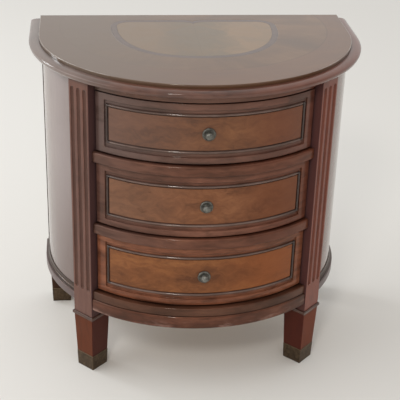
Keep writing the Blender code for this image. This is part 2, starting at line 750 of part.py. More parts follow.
def panel_mesh(low, high):
    """Thin figured panel inside the bead."""
    inside = BEAD_QUIRK + BEAD_WIDTH + GAP
    rise = FRAME_WIDTH + inside
    floor = FRONT_PROUD - RECESS_DEEP + GAP
    half = FRONT_END - STILE_WIDTH - inside
    return bent_box_mesh((-half, half), (floor, floor + PANEL_THICK), (low + rise, high - rise))


def plate_profile():
    """Half section of a dished backplate with a raised rim, closed round the knob's spindle."""
    bore = SPINDLE_RADIUS + GAP
    crest = PLATE_RADIUS - PLATE_RIM_WIDTH / 2
    inner = PLATE_RADIUS - PLATE_RIM_WIDTH
    return [
        (bore, PLATE_DISH),
        (inner - PLATE_DISH, PLATE_DISH),
        (inner, (PLATE_DISH + PLATE_RIM) / 2),
        (crest, PLATE_RIM),
        (PLATE_RADIUS, PLATE_EDGE),
        (PLATE_RADIUS, 0),
        (bore, 0),
    ]


def knob_profile():
    """Half section of a knob and its spindle, reach as height: dome, skirt, neck and shoulder."""
    seat = PLATE_DISH + GAP
    dome_base = KNOB_REACH - KNOB_DOME
    skirt_base = dome_base - KNOB_SKIRT
    spindle_end = RECESS_DEEP - FRONT_THICK - 2 * GAP - PANEL_THICK
    return [
        *arc((0, dome_base), (KNOB_RADIUS, KNOB_DOME), 90, 0),
        (KNOB_RADIUS, skirt_base),
        (KNOB_NECK, (skirt_base + seat) / 2),
        (KNOB_SHOULDER, seat),
        (SPINDLE_RADIUS, seat),
        (SPINDLE_RADIUS, spindle_end),
        (0, spindle_end),
    ]


def make_drawer(name, seat, height, fronts_space, end_posts):
    """One drawer: front, bead, figured panel, box and knob, on an empty that slides along Y."""
    low = seat + REVEAL
    high = low + height
    middle = (low + high) / 2
    face_y = on_line(0.0, FRONT_PROUD)[1]
    slide = bpy.data.objects.new(f"slide_{name}", None)
    slide.location = (0, face_y, middle)
    PART.objects.link(slide)

    def add(piece, mesh, colour, roughness=0.25, metallic=0.0):
        return add_part(f"drawer_{name}_{piece}", mesh, colour, roughness, metallic, slide)

    hole_mesh = bmesh.new()
    bore = SPINDLE_RADIUS + GAP
    bmesh.ops.create_cone(
        hole_mesh, cap_ends=True, segments=HOLE_STEPS, radius1=bore, radius2=bore, depth=DEPTH / 2
    )
    turn = Matrix.Translation((0, face_y, middle)) @ Matrix.Rotation(math.radians(90), 4, "X")
    bmesh.ops.transform(hole_mesh, matrix=turn, verts=hole_mesh.verts[:])
    hole = add_cutter(f"spindle_hole_{name}", to_mesh(hole_mesh))

    front = cut(add("front", drawer_front_mesh(low, high), MAHOGANY), *end_posts, hole)
    round_edges(front, EDGE_ROUND, 1)
    add("bead", bead_mesh(low, high), DARK_MAHOGANY)
    cut(add("panel", panel_mesh(low, high), BURL, 0.2), hole)

    box_low, box_high = seat + GAP, high - BOX_DROP
    rear_y = WALL_Y - BOX_FROM_WALL
    front_y = face_y - OVERRUN
    floor_low = box_low + BOX_BOTTOM_RAISE
    inner = BOX_HALF - BOX_SIDE_THICK
    groove_half = inner + GROOVE_DEEP
    groove_mesh = box_mesh(
        (-groove_half, front_y, floor_low - GAP), (groove_half, WALL_Y, floor_low + BOX_BOTTOM_THICK + GAP)
    )
    groove = add_cutter(f"groove_{name}", groove_mesh)
    for side, sign in SIDES.items():
        ends = sorted((sign * inner, sign * BOX_HALF))
        mesh = box_mesh((ends[0], front_y, box_low), (ends[1], rear_y, box_high))
        cut(add(f"side_{side}", mesh, PALE_WOOD, 0.6), fronts_space, groove)
    back_front = rear_y - BOX_BACK_THICK
    half = inner - GAP
    back_low = floor_low + BOX_BOTTOM_THICK + GAP
    add("back", box_mesh((-half, back_front, back_low), (half, rear_y, box_high)), PALE_WOOD, 0.6)
    half = groove_half - GAP
    floor = box_mesh((-half, front_y, floor_low), (half, rear_y, floor_low + BOX_BOTTOM_THICK))
    cut(add("bottom", floor, PLYWOOD, 0.6), fronts_space)

    panel_y = on_line(0.0, FRONT_PROUD - RECESS_DEEP + GAP + PANEL_THICK + GAP)[1]
    place = Vector((0, panel_y, middle)) - slide.location
    for piece, profile in (("knob", knob_profile()), ("backplate", plate_profile())):
        metal = part_adder(BRONZE, 0.4, 0.9, slide)
        obj = turned_object(f"drawer_{name}_{piece}", profile, KNOB_STEPS, place, metal)
        obj.rotation_euler.x = math.radians(90)


def main():
    """Builds the nightstand."""
    posts = post_cutters("post_space", GAP)
    end_posts = post_cutters("drawer_end_space", FRONT_END_GAP)
    rails_space = outside_cutter("rails_space", -RAIL_DEPTH - GAP)
    fronts_space = outside_cutter("fronts_space", FRONT_PROUD - FRONT_THICK - GAP)
    make_top()
    make_rails(posts)
    make_panels(posts)
    make_posts()
    make_runners(posts, rails_space)
    for name, seat, height in zip(DRAWER_NAMES, SEAT_TOPS, DRAWER_HEIGHTS):
        make_drawer(name, seat, height, fronts_space, end_posts)


clear_scene()
PART = new_collection("demilune_nightstand")
CUTTERS = new_collection("cutters")
main()
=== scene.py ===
"""Looks of the demilune nightstand: lacquered mahogany, figured veneer, old metal, bare wood inside."""

import math

import bpy
import numpy as np
from mathutils import Matrix, Vector

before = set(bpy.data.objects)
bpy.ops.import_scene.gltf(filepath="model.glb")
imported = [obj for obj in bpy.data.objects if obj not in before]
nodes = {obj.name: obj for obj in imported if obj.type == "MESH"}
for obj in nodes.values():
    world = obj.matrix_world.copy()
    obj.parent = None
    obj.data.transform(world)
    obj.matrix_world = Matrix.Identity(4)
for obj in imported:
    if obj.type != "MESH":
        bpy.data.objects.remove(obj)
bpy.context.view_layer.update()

# Plan of the case: the curved front is close to a circle of this radius about this line
BOW_Y = 0.100
BOW_R = 0.300

# Front posts: the right one's centre, how far its inner face reaches, in X and -Y added together,
# also at the floor, and where its foot's taper starts
POST_X = 0.2233
POST_Y = -0.0909
POST_REACH = 0.03642
FOOT_REACH = 0.0302
FOOT_TOP = 0.1285

# Veneer border on the top: half an oval about this axis, outside the inlay
TOP_AXIS_Y = 0.144
BORDER_HALF = 0.278
BORDER_BOW = 0.264

# Camera, solved from the photograph: metres, radians and millimetres
CAMERA_PLACE = (-0.2253, -2.0476, 1.3952)
CAMERA_YAW = 0.1137
CAMERA_PITCH = 0.4725
CAMERA_ROLL = 0.0326
CAMERA_LENS = 98.59
CAMERA_SENSOR = 36

# Room light: how bright the room is in front, and behind, overhead and to the left, with its colour,
# and the lamps' aim and colours
FRONT_LEVEL = 0.26
ROOM_LEVEL = 0.80
LAMP_AIM = (0, 0, 0.4)
DAYLIGHT = (0.95, 0.98, 1.0)
WARM_LIGHT = (1.0, 0.95, 0.88)
ROOM_COLOUR = (1.0, 0.985, 0.96, 1)

# Floor: half its width, and its colour
FLOOR_HALF = 9
FLOOR_COLOUR = (0.77, 0.757, 0.730, 1)

# Three tints of each wood and metal, linear, from dark to light; the border has one
REDS = ((0.026, 0.0078, 0.0046), (0.110, 0.0390, 0.0236), (0.212, 0.0840, 0.0505))
FRAME_REDS = ((0.030, 0.0100, 0.0064), (0.139, 0.0525, 0.0335), (0.255, 0.1070, 0.0700))
BASE_REDS = ((0.015, 0.0045, 0.0028), (0.082, 0.0250, 0.0142), (0.210, 0.0760, 0.0420))
# Bottom drawer's frame tints: more orange, partly painted warm light bounced from the floor
ORANGE_REDS = ((0.038, 0.0115, 0.0060), (0.198, 0.0670, 0.0345), (0.355, 0.1380, 0.0710))
BROWNS = ((0.024, 0.0085, 0.0050), (0.075, 0.0290, 0.0168), (0.139, 0.0578, 0.0343))
GREY_BROWNS = ((0.036, 0.0145, 0.0102), (0.120, 0.0505, 0.0345), (0.204, 0.0900, 0.0630))
# Bead tints, paler than the frames: partly a painted highlight along the bead
BEAD_BROWNS_AND_HIGHLIGHT = ((0.050, 0.0290, 0.0230), (0.128, 0.0780, 0.0620), (0.215, 0.1450, 0.1200))
POST_REDS = ((0.045, 0.0120, 0.0065), (0.130, 0.0430, 0.0260), (0.230, 0.0900, 0.0580))
FIELD_BROWNS = ((0.094, 0.0440, 0.0190), (0.132, 0.0650, 0.0295), (0.172, 0.0900, 0.0440))
INLAY_TINTS = ((0.138, 0.0930, 0.0500), (0.174, 0.1090, 0.0550), (0.228, 0.1360, 0.0670))
BORDER_BROWN = (0.136, 0.0560, 0.0290)
BANDING = ((0.078, 0.0480, 0.0400), (0.102, 0.0640, 0.0540), (0.130, 0.0820, 0.0680))
# Side veneer tints, pale and greyish: the wood with a painted reflection of the room
SIDE_BROWNS_AND_REFLECTION = ((0.155, 0.1090, 0.0925), (0.202, 0.1450, 0.1260), (0.247, 0.1830, 0.1640))
SKIRT_BROWNS = ((0.012, 0.0090, 0.0075), (0.034, 0.0250, 0.0210), (0.070, 0.0540, 0.0450))
REAR_BROWNS = ((0.016, 0.0070, 0.0045), (0.042, 0.0185, 0.0115), (0.078, 0.0360, 0.0230))
BURL = ((0.075, 0.0240, 0.0085), (0.150, 0.0520, 0.0180), (0.215, 0.0820, 0.0290))
MIDDLE_BURL = ((0.092, 0.0312, 0.0130), (0.194, 0.0715, 0.0298), (0.276, 0.1135, 0.0490))
# Bottom drawer's panel tints: more orange, partly painted warm light bounced from the floor
WARM_BURL = ((0.096, 0.0295, 0.0090), (0.192, 0.0650, 0.0198), (0.282, 0.1060, 0.0330))
POPLAR = ((0.24, 0.15, 0.080), (0.40, 0.275, 0.160), (0.52, 0.385, 0.245))
PLYWOOD = ((0.22, 0.135, 0.070), (0.36, 0.240, 0.135), (0.47, 0.335, 0.200))
DARK_BRONZE = ((0.058, 0.040, 0.025), (0.100, 0.068, 0.042), (0.155, 0.110, 0.070))
PEWTER = ((0.066, 0.064, 0.054), (0.155, 0.152, 0.134), (0.270, 0.266, 0.238))

# Pale scuffs on the base, a painted highlight along the rim of the top, and painted shade on the inner
# faces of the posts and feet
SCUFF = (0.290, 0.170, 0.140)
RIM_HIGHLIGHT = (0.640, 0.590, 0.550)
INNER_FACE_SHADE = (0.067, 0.0360, 0.0380)
FOOT_INNER_SHADE = (0.058, 0.0140, 0.0130)

# Reach of the shading in corners, radii of rounded edges, heights of the finish's changes, in metres
CORNER_REACH = 0.010
METAL_CORNER_REACH = 0.004
EDGE_RADIUS = 0.0011
RIM_RADIUS = 0.0024
BARE_EDGE_RADIUS = 0.0008
METAL_EDGE_RADIUS = 0.0007
FERRULE_RIM = 0.0355
DULL_BELOW, GLOSSY_ABOVE = 0.127, 0.137
SCUFFED_BELOW, WHOLE_ABOVE = 0.159, 0.176
GRAIN_BUMP, VENEER_BUMP, FLOW_BUMP = 0.0004, 0.0003, 0.004

# Broad changes of tone: axis (0 is X), where it starts and ends, the tint it turns to, how much of it;
# several are painted reflection or painted shade, marked where they stand
POST_TONE_AND_REFLECTION = (
    # Greyer on the left post: painted reflection
    (0, 0.0, -0.2, (0.121, 0.0550, 0.0420), 0.60),
    (0, 0.0, 0.2, (0.218, 0.0550, 0.0335), 0.80),
    (2, 0.138, 0.126, (0.112, 0.0265, 0.0090), 0.95),
    (0, 0.0, 0.23, (0.205, 0.0290, 0.0040), 0.40),
)
SIDE_TONE_AND_REFLECTION = (
    # Pale grey band towards the front, by the post: painted reflection of a window
    (1, 0.040, -0.040, (0.270, 0.2190, 0.2160), 0.75),
    # Darker towards the bottom: less of the painted reflection lower down
    (2, 0.480, 0.180, (0.105, 0.0560, 0.0440), 0.85),
    # Right side turned to its own red-brown, without the painted reflection
    (0, 0.0, 0.2, (0.125, 0.0370, 0.0130), 0.95),
)
MOULDING_TONE_AND_REFLECTION = (
    (0, 0.0, 0.25, (0.160, 0.0450, 0.0255), 0.70),
    # Paler and greyer to the left: painted reflection
    (0, -0.14, -0.32, (0.214, 0.1880, 0.1720), 0.68),
)
TOP_FRAME_TONE_AND_REFLECTION = (
    # Greyer to the left: painted reflection
    (0, 0.0, -0.19, (0.098, 0.0660, 0.0620), 0.85),
    (0, 0.02, 0.19, (0.140, 0.0430, 0.0290), 0.60),
)
FRONT_TONE_AND_REFLECTION = (
    # Greyer to the left: painted reflection
    (0, 0.0, -0.19, (0.100, 0.0580, 0.0500), 0.55),
    (0, 0.02, 0.19, (0.150, 0.0420, 0.0220), 0.55),
)
BEAD_SHADE_TONE = (
    # Dark on the upright runs of the bead: painted shade
    (0, -0.1825, -0.1850, (0.036, 0.0200, 0.0160), 0.95),
    (0, 0.1825, 0.1850, (0.036, 0.0200, 0.0160), 0.95),
)
# Lighter purple-grey lower band: painted reflection
SKIRT_REFLECTION_TONE = ((2, 0.1735, 0.1700, (0.110, 0.0800, 0.0830), 0.90),)
# Greyer to the left: painted reflection
TOP_REFLECTION_TONE = ((0, 0.050, -0.250, (0.121, 0.0810, 0.0540), 0.80),)
INLAY_TONE = ((0, 0.030, -0.060, (0.128, 0.0800, 0.0430), 0.50),)
TOP_DRAWER_TONE_AND_REFLECTION = (
    # Greyer to the left: painted reflection
    (0, 0.040, -0.190, (0.130, 0.0780, 0.0660), 0.60),
    (0, 0.030, 0.160, (0.146, 0.0290, 0.0040), 0.68),
)
MIDDLE_DRAWER_TONE_AND_REFLECTION = (
    # Paler to the left: painted reflection
    (0, 0.020, -0.170, (0.185, 0.1030, 0.0680), 0.50),
    (0, 0.030, 0.160, (0.138, 0.0290, 0.0030), 0.75),
)
# More orange on the bottom drawer: partly painted warm light from the floor
WARM_TONE = ((0, -0.020, 0.170, (0.262, 0.0620, 0.0055), 0.72),)

# Finishes: a warm old lacquer on the fronts, and a clear gloss on the top and the sides
WARM_GLOSS = {
    "specular_ior_level": 0.45, "specular_tint": (1.0, 0.55, 0.34, 1.0),
    "coat_weight": 0.30, "coat_roughness": 0.10, "coat_ior": 1.5,
}
HAZY_GLOSS = {
    "specular_ior_level": 0.45, "specular_tint": (1.0, 0.62, 0.42, 1.0),
    "coat_weight": 0.55, "coat_roughness": 0.12, "coat_ior": 1.5,
}
DULL_GLOSS = {
    "specular_ior_level": 0.20, "specular_tint": (1.0, 0.62, 0.42, 1.0),
    "coat_weight": 0.05, "coat_roughness": 0.20, "coat_ior": 1.5,
}
POST_GLOSS = {
    "specular_ior_level": 0.20, "specular_tint": (1.0, 0.55, 0.34, 1.0),
    "coat_roughness": 0.10, "coat_ior": 1.5,
}
SIDE_GLOSS = {
    "specular_ior_level": 0.1, "specular_tint": (1.0, 0.80, 0.65, 1.0),
    "coat_weight": 1.0, "coat_roughness": 0.09, "coat_ior": 1.65,
}
CLEAR_GLOSS = {
    "specular_ior_level": 0.1, "specular_tint": (1.0, 0.80, 0.65, 1.0),
    "coat_weight": 1.0, "coat_roughness": 0.09, "coat_ior": 1.5,
}


def smooth_normals(mesh, limit=50.0):
    """Gives a mesh of separate triangles smooth corner normals, kept sharp past an angle."""
    count = len(mesh.loops)
    corner = np.empty(count, dtype=np.int64)
    mesh.loops.foreach_get("vertex_index", corner)
    places = np.empty(len(mesh.vertices) * 3)
    mesh.vertices.foreach_get("co", places)
    places = places.reshape(-1, 3)[corner]
    face = np.empty((len(mesh.polygons), 3))
    area = np.empty(len(mesh.polygons))
    total = np.empty(len(mesh.polygons), dtype=np.int64)
    mesh.polygons.foreach_get("normal", face.ravel())
    mesh.polygons.foreach_get("area", area)
    mesh.polygons.foreach_get("loop_total", total)
    owner = np.repeat(np.arange(len(total)), total)
    normals = face[owner]
    weights = normals * area[owner][:, None]
    keys = np.unique(np.round(places * 1e5).astype(np.int64), axis=0, return_inverse=True)[1].ravel()
    order = np.argsort(keys, kind="stable")
    starts = np.flatnonzero(np.diff(keys[order], prepend=-1))
    result = np.empty_like(normals)
    threshold = math.cos(math.radians(limit))
    for group in np.split(order, starts[1:]):
        near = normals[group] @ normals[group].T > threshold
        result[group] = near.astype(float) @ weights[group]
    result /= np.maximum(np.linalg.norm(result, axis=1), 1e-12)[:, None]
    mesh.shade_smooth()
    mesh.normals_split_custom_set([tuple(n) for n in result])


class Shader:
    """A node tree, with short calls for the nodes used here."""

    def __init__(self, tree):
        self.tree = tree
        self.tree.nodes.clear()

    def add(self, kind, inputs=None, **settings):
        """Adds a node, sets its properties, and fills its inputs with values or links."""
        node = self.tree.nodes.new("ShaderNode" + kind)
        for key, value in settings.items():
            setattr(node, key, value)
        for key, value in (inputs or {}).items():
            if isinstance(value, bpy.types.NodeSocket):
                self.tree.links.new(value, node.inputs[key])
            else:
                node.inputs[key].default_value = value
        return node

    def math(self, operation, a, b=0.0):
        """One arithmetic step."""
        return self.add("Math", {0: a, 1: b}, operation=operation).outputs[0]

    def times(self, *values):
        """The product of some values."""
        result = values[0]
        for value in values[1:]:
            result = self.math("MULTIPLY", result, value)
        return result

    def total(self, *values):
        """The sum of some values."""
        result = values[0]
        for value in values[1:]:
            result = self.math("ADD", result, value)
        return result

    def scaled(self, vector, factors):
        """A vector stretched along its axes."""
        return self.add("VectorMath", {0: vector, 1: factors}, operation="MULTIPLY").outputs[0]

    def plus(self, a, b):
        """The sum of two vectors."""
        return self.add("VectorMath", {0: a, 1: b}, operation="ADD").outputs[0]

    def length(self, vector):
        """A vector's length."""
        return self.add("VectorMath", {0: vector}, operation="LENGTH").outputs["Value"]

    def joined(self, x, y, z):
        """Three numbers as a vector."""
        return self.add("CombineXYZ", {0: x, 1: y, 2: z}).outputs[0]

    def split(self, vector):
        """A vector's three numbers."""
        return self.add("SeparateXYZ", {0: vector}).outputs

    def noise(self, vector, scale, detail=4.0, roughness=0.55, distortion=0.0, colour=False):
        """Fractal noise, as one value or as a colour."""
        inputs = {"Vector": vector, "Scale": scale, "Detail": detail, "Roughness": roughness}
        inputs["Distortion"] = distortion
        return self.add("TexNoise", inputs).outputs["Color" if colour else "Fac"]

    def ramp(self, value, stops):
        """A colour for each value, between stops of (place, colour)."""
        node = self.add("ValToRGB", {"Fac": value})
        elements = node.color_ramp.elements
        while len(elements) > 1:
            elements.remove(elements[-1])
        elements[0].position = stops[0][0]
        elements[0].color = (*stops[0][1], 1)
        for place, colour in stops[1:]:
            elements.new(place).color = (*colour, 1)
        return node.outputs["Color"]

    def band(self, value, low, high, bottom=0.0, top=1.0):
        """A value brought smoothly from one range to another."""
        inputs = {"Value": value, "From Min": low, "From Max": high, "To Min": bottom, "To Max": top}
        return self.add("MapRange", inputs, interpolation_type="SMOOTHSTEP").outputs[0]

    def line(self, value, centre, width):
        """One near a value, falling to nothing at a distance from it."""
        return self.band(self.math("ABSOLUTE", self.math("SUBTRACT", value, centre)), width, width / 3)

    def mix(self, factor, a, b):
        """Two colours mixed."""
        node = self.add("Mix", data_type="RGBA")
        for index, value in ((0, factor), (6, a), (7, b)):
            if isinstance(value, bpy.types.NodeSocket):
                self.tree.links.new(value, node.inputs[index])
            else:
                node.inputs[index].default_value = value if index == 0 else (*value, 1)
        return node.outputs[2]

    def bump(self, height, strength, distance, normal=None):
        """A bumped normal."""
        inputs = {"Height": height, "Strength": strength, "Distance": distance}
        if normal is not None:
            inputs["Normal"] = normal
        return self.add("Bump", inputs).outputs[0]

    def along(self, grain):
        """Coordinates with X along the grain: round the bow, up the post, or across the top."""
        point = self.add("TexCoord").outputs["Object"]
        x, y, z = self.split(point)
        if grain == "across":
            return point
        if grain == "up":
            return self.joined(z, x, y)
        depth = self.math("SUBTRACT", BOW_Y, y)
        round_bow = self.math("MULTIPLY", self.math("ARCTAN2", x, depth), BOW_R)
        return self.joined(round_bow, z, self.length(self.joined(x, depth, 0.0)))

    def place(self):
        """X, Y and Z on the part."""
        return self.split(self.add("TexCoord").outputs["Object"])

    def toned(self, tint, regions, clouds):
        """A tint turned cloudily towards others along the part's axes."""
        place = self.place()
        for axis, start, end, colour, share in regions:
            reach = self.band(place[axis], start, end, 0.0, share)
            tint = self.mix(self.times(reach, self.band(clouds, 0.25, 0.55, 0.8, 1.0)), tint, colour)
        return tint

    def corner_shade(self, distance, most):
        """How far a spot lies in a corner or a groove, up to a share: the mask for painted shade there."""
        light = self.add("AmbientOcclusion", {"Distance": distance}, samples=4).outputs["AO"]
        return self.band(light, 0.95, 0.35, 0.0, most)

    def edges(self, radius):
        """A rounded normal for the piece's edges, and how near an edge lies."""
        rounded = self.add("Bevel", {"Radius": radius}, samples=4).outputs[0]
        true_normal = self.add("NewGeometry").outputs["Normal"]
        agree = self.add("VectorMath", {0: rounded, 1: true_normal}, operation="DOT_PRODUCT")
        return rounded, self.band(agree.outputs["Value"], 0.995, 0.90)

    def finish(self, **inputs):
        """Ends the tree with a Principled surface."""
        named = {}
        for key, value in inputs.items():
            named[key.replace("_", " ").title().replace("Ior", "IOR")] = value
        surface = self.add("BsdfPrincipled", named)
        self.add("OutputMaterial", {"Surface": surface.outputs[0]})


def new_material(name):
    """A material and the shader that fills it."""
    material = bpy.data.materials.new(name)
    material.use_nodes = True
    return material, Shader(material.node_tree)


def shaded(colour, share):
    """A colour made darker or lighter."""
    return tuple(min(1.0, share * value) for value in colour)


def wood(
    name, grain, tints, gloss=WARM_GLOSS, shift=0.0, regions=(),
    glaze_and_shade=0.75, wear_and_highlight=0.5, scuffs=0.0, smoke=0.0,
):
    """Lacquered straight-grained wood: streaks, pores and cloudy staining.

    The shift moves the figure. Four are shares: glaze_and_shade darkens corners and grooves, as
    painted shade with some dark glazing; wear_and_highlight pales the edges, as rubbing and, on the beads,
    as a painted highlight; scuffs are pale marks low on the base, and smoke dark patches along the grain.
    A gloss without a coat weight is for the front posts: dull feet, and painted shade on their faces
    towards the drawers.
    """
    material, shader = new_material(name)
    dark, mid, light = tints
    path = shader.plus(shader.along(grain), (shift, shift * 0.7, shift * 1.3))
    warp = shader.noise(path, 9.0, 2.0, colour=True)
    bent = shader.plus(shader.scaled(path, (1.0, 11.0, 11.0)), shader.scaled(warp, (0.25, 0.5, 0.5)))
    streaks = shader.noise(bent, 7.0, 7.0, 0.62, 0.25)
    clouds = shader.noise(path, 12.0, 3.0)
    dots = shader.noise(shader.scaled(path, (70.0, 1300.0, 1300.0)), 1.0, 2.0, 0.5)
    pores = shader.band(dots, 0.60, 0.74)
    tone = shader.total(shader.times(streaks, 0.55), shader.times(clouds, 0.50))
    tint = shader.ramp(tone, [(0.33, dark), (0.52, mid), (0.74, light)])
    tint = shader.toned(tint, regions, clouds)
    if smoke:
        patchy = shader.noise(shader.plus(shader.scaled(path, (11.0, 52.0, 52.0)), warp), 1.0, 5.0, 0.6)
        tint = shader.mix(shader.band(patchy, 0.48, 0.66, 0.0, smoke), tint, shaded(dark, 0.8))
    tint = shader.mix(shader.times(pores, 0.30), tint, dark)
    rounded, edge = shader.edges(EDGE_RADIUS)
    # Corners and grooves darkened: painted shade, with some dark glazing
    tint = shader.mix(shader.corner_shade(CORNER_REACH, glaze_and_shade), tint, shaded(dark, 0.30))
    patches = shader.band(shader.noise(path, 55.0, 4.0), 0.42, 0.66)
    # Paler broken edges: rubbing, and on the beads a painted highlight
    tint = shader.mix(shader.times(edge, patches, wear_and_highlight), tint, shaded(light, 1.5))
    if scuffs:
        low = shader.band(shader.place()[2], WHOLE_ABOVE, SCUFFED_BELOW)
        marks = shader.noise(shader.scaled(path, (18.0, 60.0, 18.0)), 1.0, 5.0, 0.6)
        tint = shader.mix(shader.times(low, shader.band(marks, 0.50, 0.68), scuffs), tint, SCUFF)
    normal = shader.bump(shader.math("SUBTRACT", streaks, pores), 0.10, GRAIN_BUMP, rounded)
    flow = shader.bump(shader.noise(path, 38.0, 2.0), 0.06, FLOW_BUMP, rounded)
    roughness = shader.total(shader.times(clouds, 0.20), 0.28)
    if "coat_weight" not in gloss:
        x, y, z = shader.place()
        across = shader.math("SUBTRACT", POST_X, shader.math("ABSOLUTE", x))
        inwards = shader.total(across, shader.math("SUBTRACT", POST_Y, y))
        taper = shader.times(shader.math("MINIMUM", z, FOOT_TOP), (POST_REACH - FOOT_REACH) / FOOT_TOP)
        past = shader.math("SUBTRACT", inwards, shader.total(taper, FOOT_REACH))
        # Front posts: painted shade on the faces towards the drawers, down into the feet, with little coat
        # there
        inner_shade_mask = shader.band(past, -0.002, -0.0005)
        above = shader.band(z, DULL_BELOW, GLOSSY_ABOVE)
        inner_shade_tint = shader.mix(above, FOOT_INNER_SHADE, INNER_FACE_SHADE)
        tint = shader.mix(shader.times(inner_shade_mask, 0.80), tint, inner_shade_tint)
        polished = shader.times(above, shader.band(inner_shade_mask, 1.0, 0.0, 0.1, 1.0))
        gloss = {**gloss, "coat_weight": shader.times(polished, 0.65)}
    shader.finish(base_color=tint, roughness=roughness, normal=normal, coat_normal=flow, **gloss)
    return material


def burl(name, tints, shift=0.0, regions=(), gloss=WARM_GLOSS):
    """Lacquered figured veneer on a drawer: soft clouds, curls and a few dark flecks."""
    material, shader = new_material(name)
    dark, mid, light = tints
    path = shader.plus(shader.along("bow"), (shift, shift * 0.6, shift * 1.7))
    warp = shader.noise(path, 16.0, 3.0, colour=True)
    bent = shader.plus(path, shader.scaled(warp, (0.05, 0.05, 0.05)))
    clouds = shader.noise(shader.scaled(bent, (0.40, 1.3, 1.0)), 17.0, 4.0, 0.5, 0.8)
    curls = shader.noise(shader.scaled(bent, (0.50, 1.2, 1.0)), 48.0, 6.0, 0.60, 1.4)
    fine = shader.noise(shader.scaled(bent, (1.0, 2.2, 2.2)), 150.0, 5.0, 0.6)
    tone = shader.total(shader.times(clouds, 0.55), shader.times(curls, 0.35), shader.times(fine, 0.12))
    tint = shader.ramp(tone, [(0.39, dark), (0.52, mid), (0.65, light)])
    marks = shader.noise(shader.scaled(bent, (34.0, 110.0, 34.0)), 1.0, 4.0, 0.55, 0.5)
    grouped = shader.band(shader.noise(path, 14.0, 2.0), 0.50, 0.60)
    tint = shader.toned(tint, regions, clouds)
    flecks = shader.times(shader.band(marks, 0.60, 0.70), grouped, 0.50)
    tint = shader.mix(flecks, tint, shaded(dark, 0.6))
    # Corners darkened: painted shade
    tint = shader.mix(shader.corner_shade(CORNER_REACH, 0.45), tint, shaded(dark, 0.35))
    normal = shader.bump(fine, 0.08, VENEER_BUMP)
    flow = shader.bump(shader.noise(path, 30.0, 2.0), 0.05, FLOW_BUMP)
    roughness = shader.total(shader.times(clouds, 0.20), 0.26)
    shader.finish(base_color=tint, roughness=roughness, normal=normal, coat_normal=flow, **gloss)
    return material


def top_veneer(name):
    """The top's field: rays of veneer inside a dark line, and a border laid along the edge."""
    material, shader = new_material(name)
    dark, mid, light = FIELD_BROWNS
    point = shader.along("across")
    x, y, _ = shader.place()
    depth = shader.math("SUBTRACT", TOP_AXIS_Y, y)
    halves, bows = shader.times(x, 1 / BORDER_HALF), shader.times(depth, 1 / BORDER_BOW)
    oval = shader.length(shader.joined(halves, bows, 0.0))
    turn = shader.math("ARCTAN2", x, depth)
    outside = shader.band(oval, 0.996, 1.004)
    rays = shader.joined(shader.times(turn, 0.12), shader.times(oval, 0.02), 0.0)
    ring = shader.joined(shader.times(turn, 0.02), shader.times(oval, 0.12), 3.0)
    warp = shader.noise(point, 8.0, 2.0, colour=True)
    grain = []
    for path in (rays, ring):
        bent = shader.plus(shader.scaled(path, (90.0, 90.0, 1.0)), shader.scaled(warp, (1.2, 1.2, 0.0)))
        grain.append(shader.noise(bent, 1.0, 6.0, 0.60, 0.2))
    inner, outer = grain
    within = shader.math("SUBTRACT", 1.0, outside)
    streaks = shader.total(shader.times(inner, within), shader.times(outer, outside))
    clouds = shader.noise(shader.scaled(point, (1.0, 1.6, 1.0)), 9.0, 4.0, 0.5, 0.6)
    tone = shader.total(shader.times(streaks, 0.28), shader.times(clouds, 0.72))
    tint = shader.ramp(tone, [(0.36, dark), (0.52, mid), (0.66, light)])
    tint = shader.mix(shader.times(outside, 0.45), tint, BORDER_BROWN)
    tint = shader.toned(tint, TOP_REFLECTION_TONE, clouds)
    drawn = shader.band(x, -0.15, 0.05, 0.08, 0.28)
    tint = shader.mix(shader.times(shader.line(oval, 1.0, 0.008), drawn), tint, shaded(dark, 0.45))
    rounded, edge = shader.edges(RIM_RADIUS)
    # Corners darkened: painted shade
    tint = shader.mix(shader.corner_shade(CORNER_REACH, 0.35), tint, shaded(dark, 0.30))
    patches = shader.band(shader.noise(point, 55.0, 4.0), 0.42, 0.66)
    tint = shader.mix(shader.times(edge, patches, 0.25), tint, shaded(light, 1.3))
    # Pale broken line along the rim towards both ends: painted highlight
    ends = shader.band(shader.math("ABSOLUTE", x), 0.12, 0.25, 0.0, 0.90)
    broken = shader.band(clouds, 0.35, 0.60, 0.4, 1.0)
    tint = shader.mix(shader.times(edge, ends, broken), tint, RIM_HIGHLIGHT)
    normal = shader.bump(streaks, 0.06, GRAIN_BUMP, rounded)
    flow = shader.bump(shader.noise(point, 22.0, 2.0), 0.04, FLOW_BUMP, rounded)
    roughness = shader.total(shader.times(clouds, 0.20), 0.26)
    shader.finish(base_color=tint, roughness=roughness, normal=normal, coat_normal=flow, **CLEAR_GLOSS)
    return material


